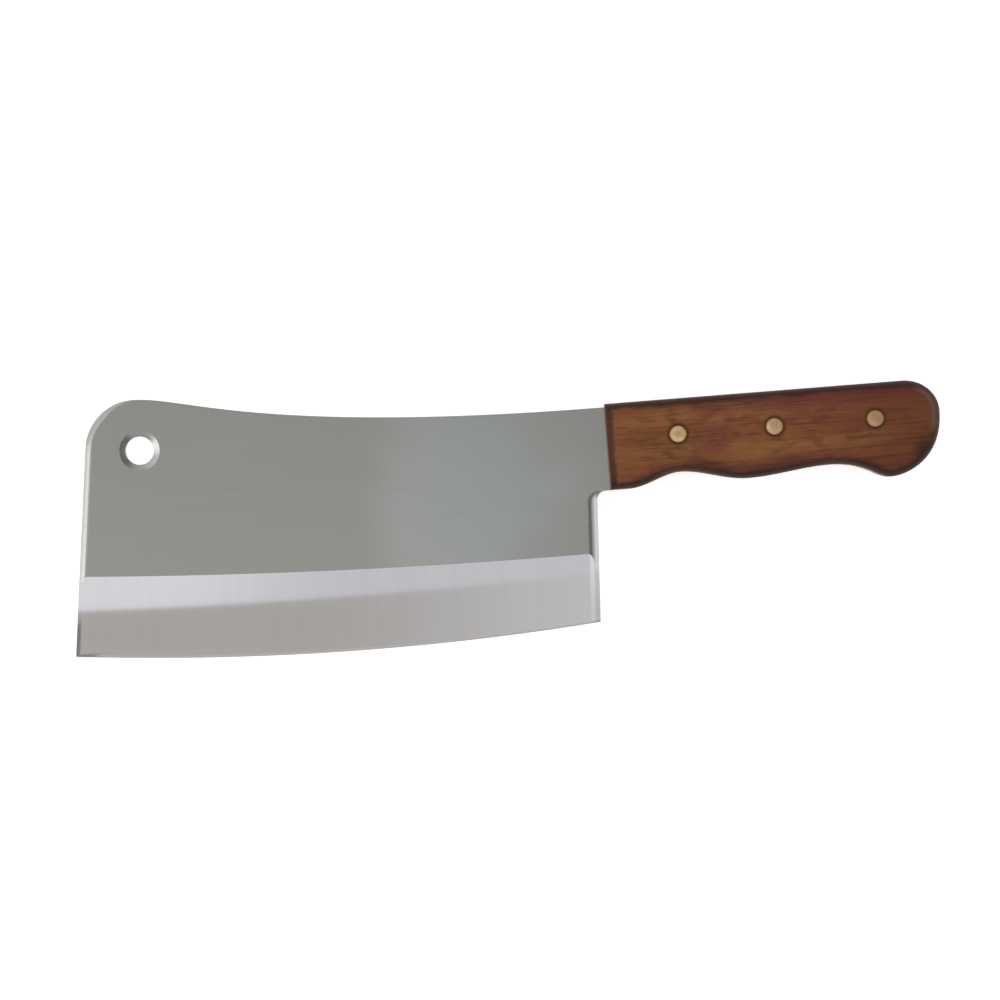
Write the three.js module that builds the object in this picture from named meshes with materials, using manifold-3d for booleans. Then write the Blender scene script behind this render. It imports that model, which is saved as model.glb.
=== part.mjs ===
// A kitchen cleaver: a full-tang steel blade between two wooden scales, held by three two-part rivets.
// Millimetres. X runs from the blade's nose to the handle's butt, Y from the cutting edge to the spine,
// and Z through the thickness. While it is drawn, the origin is the middle of the handle's front end,
// in the mid-plane of the steel. The finished group lies on its right scale, centred over its own origin.

import * as THREE from 'three';
import { mergeVertices, toCreasedNormals } from 'three/addons/utils/BufferGeometryUtils.js';
import Module from 'manifold-3d';

// Steel blank: one thickness for the blade and the tang
const STOCK = 3.5;

// Blade outline. Drops are measured down from the handle's axis, rises up from it.
const EDGE_LENGTH = 201; // heel corner to nose corner, along X
const HEEL_AHEAD = 7.75; // heel corner in front of the handle
const NECK_AHEAD = 5.2; // upper end of the heel in front of the handle
const HEEL_DROP = 66.5;
const NOSE_DROP = 64.1;
const EDGE_BELLY = 4.8; // bulge of the cutting edge below its chord
const FRONT_RAKE = THREE.MathUtils.degToRad(7.1); // the front edge leans back by this angle
const FRONT_CORNER = 19.5; // radius of the raised front corner
const SPINE_STEP = 1.15; // the handle stands this far above the spine
const CREST_RISE = 16.9; // the raised front corner above the spine at the handle
const SPINE_REACH = 135; // how far the spine stays level in front of the handle
const CREST_REACH = 20; // how far it stays level behind the crest
const NECK_FILLET = 3.2;

// Eased edges of the blade: one depth, with a width for each side
const EASE_DEPTH = 0.7;
const FRONT_EASE = 2.8;
const SPINE_EASE = 0.5;
const HEEL_EASE = 3.2;

// Hollow grind on both sides of the blade
const GRIND_NOSE = 30.4; // width of the ground band at the nose
const GRIND_HEEL = 26.3; // and at the heel
const GRIND_BELLY = 2; // bulge of the grind line below its chord
const WHEEL_RADIUS = 380;
const SHOULDER = 0.5; // thickness left behind the cutting bevel
const EDGE_BEVEL = 0.8; // height of the cutting bevel
const EDGE_LAND = 0.1; // thickness of the cutting edge itself
const GRIND_OVERRUN = 0.04; // the cutter runs past both ends by this share of the edge
const GRIND_OVERCUT = 4; // and past the cutting edge by this much

// Hanging hole, with a countersink on both sides
const HOLE_DIAMETER = 10.8;
const HOLE_BEHIND_CREST = 1.3;
const HOLE_BELOW_CREST = 19.5;
const SINK_WIDTH = 2.3;
const SINK_DEPTH = 0.5;

// Handle outline, shared by the tang and both scales
const HANDLE_LENGTH = 127;
const HANDLE_TOP = 16.35;
const LIP_DROP = 16.6; // the straight lip behind the heel
const LIP_LENGTH = 7;
const FORE_GROOVE_AT = 27;
const FORE_GROOVE_DROP = 11.65;
const SWELL_LEAD = 3; // the swell lies this far ahead of halfway between the grooves
const SWELL_DROP = 16.1;
const REAR_GROOVE_BEFORE_BUTT = 43;
const REAR_GROOVE_DROP = 13.4;
const HOOK_BEFORE_BUTT = 20.2;
const HOOK_DROP = 19.8;
const GROOVE_REACH = 14; // how far the rear groove stays level towards the hook
const HOOK_REACH = 5.5; // how far the hook stays level on either side
const BUTT_RISE = 4; // height of the butt's rearmost point
const BUTT_SWEEP = 19; // how far the butt runs straight down from there
const BUTT_CORNER = 13.4; // length of the butt's rounded upper corner

// Scales
const SCALE_THICKNESS = 8.5;
const SCALE_ROUND = 4.5; // rounding of the outer edges

// Rivets: a flat-headed pin pressed into a flat-headed tube
const FRONT_RIVET_AT = 26.9;
const REAR_RIVET_BEFORE_BUTT = 25;
const MIDDLE_RIVET_LEAD = 0.85; // the middle rivet lies this far ahead of halfway
const RIVET_RISE = 2.7;
const HEAD_DIAMETER = 7;
const HEAD_THICKNESS = 1.6;
const HEAD_CHAMFER = 0.25;
const TUBE_DIAMETER = 4.6;
const TUBE_BORE = 3.2;
const TUBE_END_GAP = 0.8; // from the tube's mouth to the other head
const PIN_END_GAP = 1.4; // from the pin's tip to the bottom of the tube
const PIN_TAPER = 0.5;
const HEAD_CLEARANCE = 0.1; // radial
const TUBE_CLEARANCE = 0.1;
const PIN_CLEARANCE = 0.05;

// Smoothness of the faceted curves
const CURVE_STEPS = 12;
const LONG_CURVE_STEPS = 26;
const FILLET_STEPS = 8;
const ROUND_STEPS = 6;
const GRIND_STEPS = 9;
const HOLE_SIDES = 48;
const RIVET_SIDES = 24;
const CREASE = THREE.MathUtils.degToRad(25);

const HALF_STOCK = STOCK / 2;
const SCALE_FACE = HALF_STOCK + SCALE_THICKNESS;
const SPINE_RISE = HANDLE_TOP - SPINE_STEP;
const CREST_HEIGHT = SPINE_RISE + CREST_RISE;
const QUARTER_TURN = Math.PI / 2;

const wasm = await Module();
wasm.setup();

const vec2 = (x, y) => new THREE.Vector2(x, y);
const { lerp } = THREE.MathUtils;

// A closed three.js geometry as a solid that can be cut
function solid(geometry) {
  const bare = geometry.clone();
  bare.deleteAttribute('normal');
  bare.deleteAttribute('uv');
  const welded = mergeVertices(bare, 1e-5);
  const corners = welded.index.array;
  const triangles = [];
  for (let i = 0; i < corners.length; i += 3) {
    const [a, b, c] = corners.subarray(i, i + 3);
    if (a !== b && b !== c && c !== a) triangles.push(a, b, c);
  }
  return new wasm.Manifold(
    new wasm.Mesh({
      numProp: 3,
      vertProperties: new Float32Array(welded.attributes.position.array),
      triVerts: new Uint32Array(triangles),
    }),
  );
}

// A solid as a named mesh with its own finish
function piece(name, body, finish) {
  const cut = body.getMesh();
  const geometry = new THREE.BufferGeometry();
  geometry.setAttribute('position', new THREE.BufferAttribute(cut.vertProperties, 3));
  geometry.setIndex(new THREE.BufferAttribute(cut.triVerts, 1));
  const mesh = new THREE.Mesh(toCreasedNormals(geometry, CREASE), new THREE.MeshStandardMaterial(finish));
  mesh.name = name;
  return mesh;
}

// A skin over a row of closed loops with equal counts of points, closed by a flat cap at each end.
// Each loop runs anticlockwise as seen looking back along the row, and flatten lays it in a plane.
function loft(loops, flatten) {
  const count = loops[0].length;
  const last = (loops.length - 1) * count;
  const triangles = [];
  for (let row = 0; row < last; row += count) {
    for (let i = 0; i < count; i += 1) {
      const j = (i + 1) % count;
      triangles.push(row + i, row + j, row + count + j);
      triangles.push(row + i, row + count + j, row + count + i);
    }
  }
  for (const [a, b, c] of THREE.ShapeUtils.triangulateShape(loops[0].map(flatten), [])) {
    triangles.push(c, b, a);
  }
  for (const [a, b, c] of THREE.ShapeUtils.triangulateShape(loops.at(-1).map(flatten), [])) {
    triangles.push(last + a, last + b, last + c);
  }
  const geometry = new THREE.BufferGeometry().setFromPoints(loops.flat());
  return geometry.setIndex(triangles);
}

// An outline's points in order. Each run is a curve, its count of steps and its ease at the start and the
// end. A point keeps the ease of the side that it ends and of the side that it starts.
function trace(runs) {
  const points = [];
  let before = runs.at(-1).ease.at(-1);
  for (const { curve, steps, ease } of runs) {
    for (let i = 0; i < steps; i += 1) {
      const width = lerp(ease[0], ease.at(-1), i / steps);
      points.push({ at: curve.getPoint(i / steps), easeIn: i ? width : before, easeOut: width });
    }
    before = ease.at(-1);
  }
  return points;
}

// The outline drawn in by a share of its own eases, with mitred corners
function drawnIn(points, share) {
  return points.map(({ at, easeIn, easeOut }, i) => {
    const into = at.clone().sub(points.at(i - 1).at).normalize();
    const out = points[(i + 1) % points.length].at.clone().sub(at).normalize();
    const turn = into.cross(out);
    const left = vec2(-into.y - out.y, into.x + out.x).normalize();
    if (Math.abs(turn) < 1e-3) return at.clone().addScaledVector(left, share * easeIn);
    const along = vec2(
      (out.x * easeIn - into.x * easeOut) / turn,
      (out.y * easeIn - into.y * easeOut) / turn,
    );
    return at.clone().addScaledVector(along, share);
  });
}

const atHeight = (loop, z) => loop.map(({ x, y }) => new THREE.Vector3(x, y, z));
const fromAbove = ({ x, y }) => vec2(x, y);
const fromButt = ({ y, z }) => vec2(y, z);

// A curve that leaves and arrives level
function levelCurve(from, to, reachFrom, reachTo) {
  const sense = Math.sign(to.x - from.x);
  const first = vec2(from.x + sense * reachFrom, from.y);
  const second = vec2(to.x - sense * reachTo, to.y);
  return new THREE.CubicBezierCurve(from, first, second, to);
}

// The handle's outline from the end of the lip round the butt to the top of its front end
function handleRuns(ease) {
  const rearGrooveAt = HANDLE_LENGTH - REAR_GROOVE_BEFORE_BUTT;
  const lipEnd = vec2(LIP_LENGTH, -LIP_DROP);
  const foreGroove = vec2(FORE_GROOVE_AT, -FORE_GROOVE_DROP);
  const swell = vec2((FORE_GROOVE_AT + rearGrooveAt) / 2 - SWELL_LEAD, -SWELL_DROP);
  const rearGroove = vec2(rearGrooveAt, -REAR_GROOVE_DROP);
  const hook = vec2(HANDLE_LENGTH - HOOK_BEFORE_BUTT, -HOOK_DROP);
  const butt = vec2(HANDLE_LENGTH, BUTT_RISE);
  const buttCorner = new THREE.EllipseCurve(
    HANDLE_LENGTH - BUTT_CORNER, BUTT_RISE, BUTT_CORNER, HANDLE_TOP - BUTT_RISE, 0, QUARTER_TURN,
  );
  const soft = (from, to) => levelCurve(from, to, (to.x - from.x) / 3, (to.x - from.x) / 3);
  const curves = [
    soft(lipEnd, foreGroove),
    soft(foreGroove, swell),
    soft(swell, rearGroove),
    levelCurve(rearGroove, hook, GROOVE_REACH, HOOK_REACH),
    new THREE.CubicBezierCurve(
      hook, vec2(hook.x + HOOK_REACH, hook.y), vec2(butt.x, butt.y - BUTT_SWEEP), butt,
    ),
    buttCorner,
  ];
  const runs = curves.map((curve) => ({ curve, steps: CURVE_STEPS, ease: [ease] }));
  const top = new THREE.LineCurve(buttCorner.getPoint(1), vec2(0, HANDLE_TOP));
  return [...runs, { curve: top, steps: 1, ease: [ease] }];
}

// The round that joins a straight side, rising from a corner, to a level line on its right
function roundToLevel(corner, direction, radius, level) {
  const right = vec2(direction.y, -direction.x);
  const rise = (level - radius - corner.y - radius * right.y) / direction.y;
  const centre = corner.clone().addScaledVector(direction, rise).addScaledVector(right, radius);
  return { centre, sideAngle: Math.atan2(-right.y, -right.x) };
}

// A shallow curve between two points, bulging down from its chord
function bellied(from, to, belly) {
  const pull = from.clone().add(to).multiplyScalar(1 / 2);
  pull.y -= 2 * belly;
  return new THREE.QuadraticBezierCurve(from, pull, to);
}

// The blade's corners, sides and curves, shared by its outline, its grind and its hole
const noseCorner = vec2(-HEEL_AHEAD - EDGE_LENGTH, -NOSE_DROP);
const heelCorner = vec2(-HEEL_AHEAD, -HEEL_DROP);
const frontDirection = vec2(Math.sin(FRONT_RAKE), Math.cos(FRONT_RAKE));
const heelDirection = vec2(HEEL_AHEAD - NECK_AHEAD, HEEL_DROP - LIP_DROP).normalize();
const cuttingEdge = bellied(noseCorner, heelCorner, EDGE_BELLY);
const frontRound = roundToLevel(noseCorner, frontDirection, FRONT_CORNER, CREST_HEIGHT);
const neckRound = roundToLevel(heelCorner, heelDirection, NECK_FILLET, -LIP_DROP);

// The steel blank: spine, front corner, front edge, cutting edge, heel and neck, then the tang
function bladeRuns() {
  const spineEnd = vec2(0, SPINE_RISE);
  const crest = vec2(frontRound.centre.x, CREST_HEIGHT);
  const spine = levelCurve(spineEnd, crest, SPINE_REACH, CREST_REACH);
  const frontCorner = new THREE.EllipseCurve(
    ...frontRound.centre, FRONT_CORNER, FRONT_CORNER, QUARTER_TURN, frontRound.sideAngle,
  );
  const front = new THREE.LineCurve(frontCorner.getPoint(1), noseCorner);
  const neck = new THREE.EllipseCurve(
    ...neckRound.centre, NECK_FILLET, NECK_FILLET, neckRound.sideAngle, QUARTER_TURN, true,
  );
  const heel = new THREE.LineCurve(heelCorner, neck.getPoint(0));
  const lip = new THREE.LineCurve(neck.getPoint(1), vec2(LIP_LENGTH, -LIP_DROP));
  const step = new THREE.LineCurve(vec2(0, HANDLE_TOP), spineEnd);
  return [
    { curve: spine, steps: LONG_CURVE_STEPS, ease: [SPINE_EASE] },
    { curve: frontCorner, steps: CURVE_STEPS, ease: [SPINE_EASE, FRONT_EASE] },
    { curve: front, steps: 1, ease: [FRONT_EASE] },
    { curve: cuttingEdge, steps: LONG_CURVE_STEPS, ease: [0] },
    { curve: heel, steps: 1, ease: [HEEL_EASE] },
    { curve: neck, steps: FILLET_STEPS, ease: [HEEL_EASE, 0] },
    { curve: lip, steps: 1, ease: [0] },
    ...handleRuns(0),
    { curve: step, steps: 1, ease: [0] },
  ];
}

// What the grinding wheel takes off one side of the blade: a hollow band from the grind line down to the
// shoulder, and the flat cutting bevel below it. The cutter runs past the blade on every side.
function grindCutter(side) {
  const grindLine = bellied(
    noseCorner.clone().addScaledVector(frontDirection, GRIND_NOSE / frontDirection.y),
    heelCorner.clone().addScaledVector(heelDirection, GRIND_HEEL / heelDirection.y),
    GRIND_BELLY,
  );
  const sections = [];
  for (let i = 0; i <= LONG_CURVE_STEPS; i += 1) {
    const along = lerp(-GRIND_OVERRUN, 1 + GRIND_OVERRUN, i / LONG_CURVE_STEPS);
    const edge = cuttingEdge.getPoint(along);
    const below = edge.clone().setY(edge.y - GRIND_OVERCUT);
    const shoulder = edge.clone().setY(edge.y + EDGE_BEVEL);
    const line = grindLine.getPoint(along);
    const hollow = line.distanceToSquared(shoulder) / (8 * WHEEL_RADIUS);
    const section = [[below, EDGE_LAND / 2], [edge, EDGE_LAND / 2]];
    for (let j = GRIND_STEPS; j >= -1; j -= 1) {
      const down = j / GRIND_STEPS;
      const straight = lerp(HALF_STOCK, SHOULDER / 2, down);
      section.push([line.clone().lerp(shoulder, down), straight - 4 * hollow * down * (1 - down)]);
    }
    section.push([section.at(-1)[0], STOCK], [below, STOCK]);
    const loop = section.map(([at, z]) => new THREE.Vector3(at.x, at.y, side * z));
    sections.push(side > 0 ? loop : loop.reverse());
  }
  return solid(loft(sections, fromButt));
}

// A turned shape about the Z axis. The profile's second number points out of the given side.
function turned(profile, side, sides = RIVET_SIDES) {
  const points = profile.map(([radius, height]) => vec2(radius, height));
  return new THREE.LatheGeometry(points, sides).rotateX(side * QUARTER_TURN);
}

const SEAT = SCALE_FACE - HEAD_THICKNESS;
const TUBE_HOLE_RADIUS = TUBE_DIAMETER / 2 + TUBE_CLEARANCE;
const frontRivet = vec2(FRONT_RIVET_AT, RIVET_RISE);
const rearRivet = vec2(HANDLE_LENGTH - REAR_RIVET_BEFORE_BUTT, RIVET_RISE);
const middleRivet = vec2((frontRivet.x + rearRivet.x) / 2 - MIDDLE_RIVET_LEAD, RIVET_RISE);
const rivets = { front: frontRivet, middle: middleRivet, rear: rearRivet };

function blade() {
  const outline = trace(bladeRuns());
  const whole = drawnIn(outline, 0);
  const eased = drawnIn(outline, 1);
  const shoulderHeight = HALF_STOCK - EASE_DEPTH;
  let steel = solid(loft([
    atHeight(eased, -HALF_STOCK),
    atHeight(whole, -shoulderHeight),
    atHeight(whole, shoulderHeight),
    atHeight(eased, HALF_STOCK),
  ], fromAbove));
  steel = steel.subtract(grindCutter(1)).subtract(grindCutter(-1));

  const radius = HOLE_DIAMETER / 2;
  const sinkFloor = HALF_STOCK - SINK_DEPTH;
  const sinkTop = [radius + 2 * SINK_WIDTH, HALF_STOCK + SINK_DEPTH];
  const hole = turned([
    [0, -sinkTop[1]],
    [sinkTop[0], -sinkTop[1]],
    [radius, -sinkFloor],
    [radius, sinkFloor],
    sinkTop,
    [0, sinkTop[1]],
  ], 1, HOLE_SIDES);
  const holeX = frontRound.centre.x + HOLE_BEHIND_CREST;
  steel = steel.subtract(solid(hole.translate(holeX, CREST_HEIGHT - HOLE_BELOW_CREST, 0)));

  for (const { x, y } of Object.values(rivets)) {
    const bore = turned(
      [[0, -STOCK], [TUBE_HOLE_RADIUS, -STOCK], [TUBE_HOLE_RADIUS, STOCK], [0, STOCK]], 1,
    );
    steel = steel.subtract(solid(bore.translate(x, y, 0)));
  }
  return piece('blade', steel, { color: 0x93948f, roughness: 0.35, metalness: 1 });
}

// One handle half: flat against the tang, rounded over on its outer edges, with a stepped hole for each rivet
function scale(name, side) {
  const frontEnd = new THREE.LineCurve(vec2(0, HANDLE_TOP), vec2(0, -LIP_DROP));
  const lip = new THREE.LineCurve(vec2(0, -LIP_DROP), vec2(LIP_LENGTH, -LIP_DROP));
  const outline = trace([
    { curve: frontEnd, steps: 1, ease: [SCALE_ROUND] },
    { curve: lip, steps: 1, ease: [SCALE_ROUND] },
    ...handleRuns(SCALE_ROUND),
  ]);
  const loops = [atHeight(drawnIn(outline, 0), side * HALF_STOCK)];
  for (let i = 0; i <= ROUND_STEPS; i += 1) {
    const angle = (i / ROUND_STEPS) * QUARTER_TURN;
    const height = SCALE_FACE - SCALE_ROUND * (1 - Math.sin(angle));
    loops.push(atHeight(drawnIn(outline, 1 - Math.cos(angle)), side * height));
  }
  let wood = solid(loft(side > 0 ? loops : loops.reverse(), fromAbove));
  const headHole = HEAD_DIAMETER / 2 + HEAD_CLEARANCE;
  for (const { x, y } of Object.values(rivets)) {
    const seat = turned([
      [0, 0],
      [TUBE_HOLE_RADIUS, 0],
      [TUBE_HOLE_RADIUS, SEAT],
      [headHole, SEAT],
      [headHole, SCALE_FACE + HEAD_THICKNESS],
      [0, SCALE_FACE + HEAD_THICKNESS],
    ], side);
    wood = wood.subtract(solid(seat.translate(x, y, 0)));
  }
  return piece(name, wood, { color: 0x73492f, roughness: 0.55, metalness: 0 });
}

// The head that both rivet halves share, from its underside out to its ground face
function headProfile() {
  const radius = HEAD_DIAMETER / 2;
  return [
    [radius, SEAT],
    [radius, SCALE_FACE - HEAD_CHAMFER],
    [radius - HEAD_CHAMFER, SCALE_FACE],
    [0, SCALE_FACE],
  ];
}

const BRASS = { color: 0xad8b67, roughness: 0.35, metalness: 1 };

// The half with the solid pin, driven in from the left
function rivetMale(name) {
  const radius = TUBE_BORE / 2 - PIN_CLEARANCE;
  const tip = PIN_END_GAP - SEAT;
  const profile = [
    [0, tip],
    [radius - PIN_TAPER / 2, tip],
    [radius, tip + PIN_TAPER],
    [radius, SEAT],
    ...headProfile(),
  ];
  return piece(name, solid(turned(profile, 1)), BRASS);
}

// The half with the tube, seated from the right
function rivetFemale(name) {
  const mouth = TUBE_END_GAP - SEAT;
  const profile = [
    [0, SEAT],
    [TUBE_BORE / 2, SEAT],
    [TUBE_BORE / 2, mouth],
    [TUBE_DIAMETER / 2, mouth],
    [TUBE_DIAMETER / 2, SEAT],
    ...headProfile(),
  ];
  return piece(name, solid(turned(profile, -1)), BRASS);
}

const cleaver = new THREE.Group();
cleaver.name = 'cleaver';
cleaver.add(blade(), scale('left_scale', 1), scale('right_scale', -1));
for (const [place, { x, y }] of Object.entries(rivets)) {
  const rivet = new THREE.Group();
  rivet.position.set(x, y, 0);
  rivet.add(rivetMale(`${place}_rivet_male`), rivetFemale(`${place}_rivet_female`));
  cleaver.add(rivet);
}

// The origin lies under the middle of the whole cleaver, on the surface that it lies on
const box = new THREE.Box3().setFromObject(cleaver, true);
const middle = box.getCenter(new THREE.Vector3());
cleaver.position.set(-middle.x, -middle.y, -box.min.z);

export default cleaver;
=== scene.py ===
"""Dresses the kitchen cleaver: a hollow-ground steel blade, oiled hardwood scales and brass rivets."""
import logging
import math
from dataclasses import dataclass, field
from enum import Enum
from typing import Any, NamedTuple

import bmesh
import bpy
from bmesh.types import BMesh, BMFace
from bpy.types import Material, Node, NodeSocket, NodeTree, Object
from mathutils import Matrix, Vector
from mathutils.geometry import interpolate_bezier


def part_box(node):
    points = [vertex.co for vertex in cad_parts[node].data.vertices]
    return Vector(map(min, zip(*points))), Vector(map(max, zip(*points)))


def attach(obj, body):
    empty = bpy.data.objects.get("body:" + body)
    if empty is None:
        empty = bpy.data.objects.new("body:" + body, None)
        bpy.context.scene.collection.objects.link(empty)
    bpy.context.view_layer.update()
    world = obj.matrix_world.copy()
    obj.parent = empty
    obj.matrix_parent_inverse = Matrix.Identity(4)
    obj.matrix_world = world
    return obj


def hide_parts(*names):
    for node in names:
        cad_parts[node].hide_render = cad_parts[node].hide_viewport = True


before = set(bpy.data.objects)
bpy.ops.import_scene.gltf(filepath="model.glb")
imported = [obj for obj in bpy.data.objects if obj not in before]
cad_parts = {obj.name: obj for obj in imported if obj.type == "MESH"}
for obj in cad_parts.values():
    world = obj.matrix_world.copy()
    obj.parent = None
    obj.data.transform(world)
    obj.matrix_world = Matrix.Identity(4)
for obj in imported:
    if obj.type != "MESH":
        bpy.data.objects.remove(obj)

LOG = logging.getLogger("cleaver")
BODY = "root"
MM = 0.001
QUARTER = math.pi / 2
WELD = 0.0005
CREASE = math.radians(28)
GROUND_CREASE = math.radians(8)
GROUND_SLOT = 1
FLAT = 1 - 1e-6
LEAST_EASE = 0.2
LEAST_MITRE = 0.5
BUMP = 0.3
# Inputs of a Map Range node, and numbers of the sockets that a Mix node has for colours
FADE_INPUTS = ("Value", "From Min", "From Max", "To Max", "To Min")
MIX_SHARE = 0
MIX_UNDER = 6
MIX_OVER = 7
MIX_RESULT = 2

Colour = tuple[float, float, float, float]


class Side(Enum):
    """The cleaver's two sides, by the way that they face along Z."""

    LEFT = 1
    RIGHT = -1


class Slot(Enum):
    """The record's material slots."""

    STEEL = "steel"
    WOOD = "wood"
    BRASS = "brass"


def cubic(start: Vector, lead: Vector, trail: Vector, end: Vector, steps: int) -> list[Vector]:
    """Walks along a cubic curve with two control points, without its last point."""
    return interpolate_bezier(start, lead, trail, end, steps + 1)[:-1]


def level_curve(start: Vector, end: Vector, leave: float, arrive: float, steps: int) -> list[Vector]:
    """Walks along a curve that leaves and arrives level.

    Args:
        start: First point.
        end: Last point, which is left to the next run.
        leave: How far the curve stays level after its start.
        arrive: How far it is level before its end.
        steps: Number of steps.

    Returns:
        The points, without the last one.
    """
    sense = math.copysign(1, end.x - start.x)
    lead = Vector((start.x + sense * leave, start.y))
    trail = Vector((end.x - sense * arrive, end.y))
    return cubic(start, lead, trail, end, steps)


def arc(centre: Vector, radii: Vector, first: float, last: float, steps: int) -> list[Vector]:
    """Walks along an elliptic arc from its first angle to its last, without its last point."""
    angles = [first + (last - first) * i / steps for i in range(steps)]
    return [centre + Vector((radii.x * math.cos(a), radii.y * math.sin(a))) for a in angles]


def straight(start: Vector, end: Vector, steps: int) -> list[Vector]:
    """Walks along a straight line, without its last point."""
    return [start.lerp(end, i / steps) for i in range(steps)]


def bulge(share: float) -> float:
    """Finds the height of a shallow curve of height 1 at a share of its chord."""
    return 4 * share * (1 - share)


def bellied(start: Vector, end: Vector, belly: float, along: float) -> Vector:
    """Finds the point at a share of a chord's length on a shallow curve that bulges down from it."""
    return start.lerp(end, along) - Vector((0, belly * bulge(along)))


@dataclass
class Outline:
    """A closed outline, walked anticlockwise, with the width of its eased edge at each point."""

    points: list[Vector] = field(default_factory=list)
    eases: list[float] = field(default_factory=list)

    def add(self, run: list[Vector], start_ease: float = 0.0, end_ease: float | None = None) -> None:
        """Adds a run of points.

        Args:
            run: The points.
            start_ease: Width of the eased edge at the run's start.
            end_ease: Width that it changes to by the run's end, if it changes.
        """
        change = 0.0 if end_ease is None else end_ease - start_ease
        self.points += run
        self.eases += [start_ease + change * i / len(run) for i in range(len(run))]

    def drawn_in(self, share: float, height: float, sunk: float = 0.0) -> list[Vector]:
        """Draws the outline in by a share of its eases, with mitred corners.

        Args:
            share: Share of each point's ease.
            height: Height of the loop above mid-steel.
            sunk: How far each point lies lower, as a share of its ease.

        Returns:
            The loop.
        """
        loop = []
        count = len(self.points)
        for i, (point, ease) in enumerate(zip(self.points, self.eases)):
            before = (point - self.points[i - 1]).normalized()
            after = (self.points[(i + 1) % count] - point).normalized()
            inward = Vector((-before.y - after.y, before.x + after.x)).normalized()
            mitre = 1 / max(LEAST_MITRE, inward.dot(Vector((-before.y, before.x))))
            drop = sunk * max(ease, LEAST_EASE)
            loop.append((point + inward * (share * ease * mitre)).to_3d() + Vector((0, 0, height - drop)))
        return loop


def stack(loops: list[list[Vector]], material_index: int = 0) -> BMesh:
    """Draws a solid up through a stack of matching loops.

    Args:
        loops: Loops with equal counts of points.
        material_index: Material slot of its faces.

    Returns:
        The closed solid.
    """
    bm = bmesh.new()
    base = bm.faces.new([bm.verts.new(point) for point in loops[0]])
    cap = base
    for loop in loops[1:]:
        made = bmesh.ops.extrude_face_region(bm, geom=[cap])
        if cap is not base:
            bmesh.ops.delete(bm, geom=[cap], context="FACES_ONLY")
        cap = next(item for item in made["geom"] if isinstance(item, BMFace))
        for vert, point in zip(cap.verts, loop):
            vert.co = point
    for face in bm.faces:
        face.material_index = material_index
    bmesh.ops.recalc_face_normals(bm, faces=bm.faces)
    return bm


def turned(profile: list[tuple[float, float]], centre: Vector, sides: int) -> BMesh:
    """Turns a profile about an upright axis.

    Args:
        profile: Radius and height of each corner, from the axis back to the axis.
        centre: Where the axis stands.
        sides: Number of sides of the turned shape.

    Returns:
        The closed solid.
    """
    bm = bmesh.new()
    verts = [bm.verts.new((centre.x + radius, centre.y, height)) for radius, height in profile]
    edges = [bm.edges.new(pair) for pair in zip(verts, verts[1:])]
    axis = {"cent": centre.to_3d(), "axis": (0, 0, 1), "angle": math.tau}
    bmesh.ops.spin(bm, geom=verts + edges, steps=sides, use_merge=True, **axis)
    bmesh.ops.remove_doubles(bm, verts=bm.verts, dist=WELD)
    bmesh.ops.recalc_face_normals(bm, faces=bm.faces)
    return bm


def scratch_object(bm: BMesh, name: str) -> Object:
    """Puts a bmesh into a passing object, and frees it.

    Args:
        bm: The bmesh.
        name: Name of the object.

    Returns:
        The object.
    """
    mesh = bpy.data.meshes.new(name)
    bm.to_mesh(mesh)
    bm.free()
    made = bpy.data.objects.new(name, mesh)
    bpy.context.scene.collection.objects.link(made)
    return made


def cut(solid: BMesh, tools: list[BMesh]) -> BMesh:
    """Cuts tools out of a solid.

    Args:
        solid: The solid, which is used up.
        tools: The tools, which are used up too. Cut faces keep the tool's material slot.

    Returns:
        What is left of the solid.
    """
    body = scratch_object(solid, "uncut")
    knives = [scratch_object(tool, "tool") for tool in tools]
    for knife in knives:
        modifier = body.modifiers.new("cut", "BOOLEAN")
        modifier.operation = "DIFFERENCE"
        modifier.solver = "EXACT"
        modifier.object = knife
    graph = bpy.context.evaluated_depsgraph_get()
    result = bpy.data.meshes.new_from_object(body.evaluated_get(graph))
    bm = bmesh.new()
    bm.from_mesh(result)
    bpy.data.meshes.remove(result)
    for passing in [body, *knives]:
        bpy.data.meshes.remove(passing.data)
    bmesh.ops.remove_doubles(bm, verts=bm.verts, dist=WELD)
    return bm


def shade(bm: BMesh) -> None:
    """Shades curved faces smooth, with a crisp line at creases and round the flats.

    Args:
        bm: The shape.
    """
    for face in bm.faces:
        face.smooth = True
    for edge in bm.edges:
        flats = {abs(face.normal.z) > FLAT for face in edge.link_faces}
        slots = {face.material_index for face in edge.link_faces}
        limit = GROUND_CREASE if GROUND_SLOT in slots else CREASE
        alike = len(flats) == 1 and len(slots) == 1
        edge.smooth = alike and edge.calc_face_angle(math.pi) < limit


@dataclass(frozen=True)
class Drawing:
    """The maker's drawing: x from the handle's front end, y from its axis, z from mid-steel, in mm."""

    handle_top: float

    def origin(self) -> Vector:
        """Finds the drawing's origin in the frame.

        Returns:
            The origin.
        """
        scale_low, scale_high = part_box("left_scale")
        blade_low, blade_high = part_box("blade")
        axis = scale_high.y - self.handle_top * MM
        return Vector((scale_low.x, axis, (blade_low.z + blade_high.z) / 2))

    def publish(self, bm: BMesh, name: str, node: str, finishes: list[Material]) -> None:
        """Puts a drawn piece in its place in the frame, where it stands for its node.

        Args:
            bm: The piece, drawn in millimetres, which is used up.
            name: Name of the piece.
            node: The node that it replaces.
            finishes: Its materials, in the order of its material slots.
        """
        place = Matrix.Translation(self.origin()) @ Matrix.Scale(MM, 4)
        bmesh.ops.transform(bm, matrix=place, verts=bm.verts)
        bm.normal_update()
        shade(bm)
        piece = scratch_object(bm, name)
        for finish in finishes:
            piece.data.materials.append(finish)
        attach(piece, BODY)
        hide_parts(node)
        LOG.info("%s: %d faces", name, len(piece.data.polygons))


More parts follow.
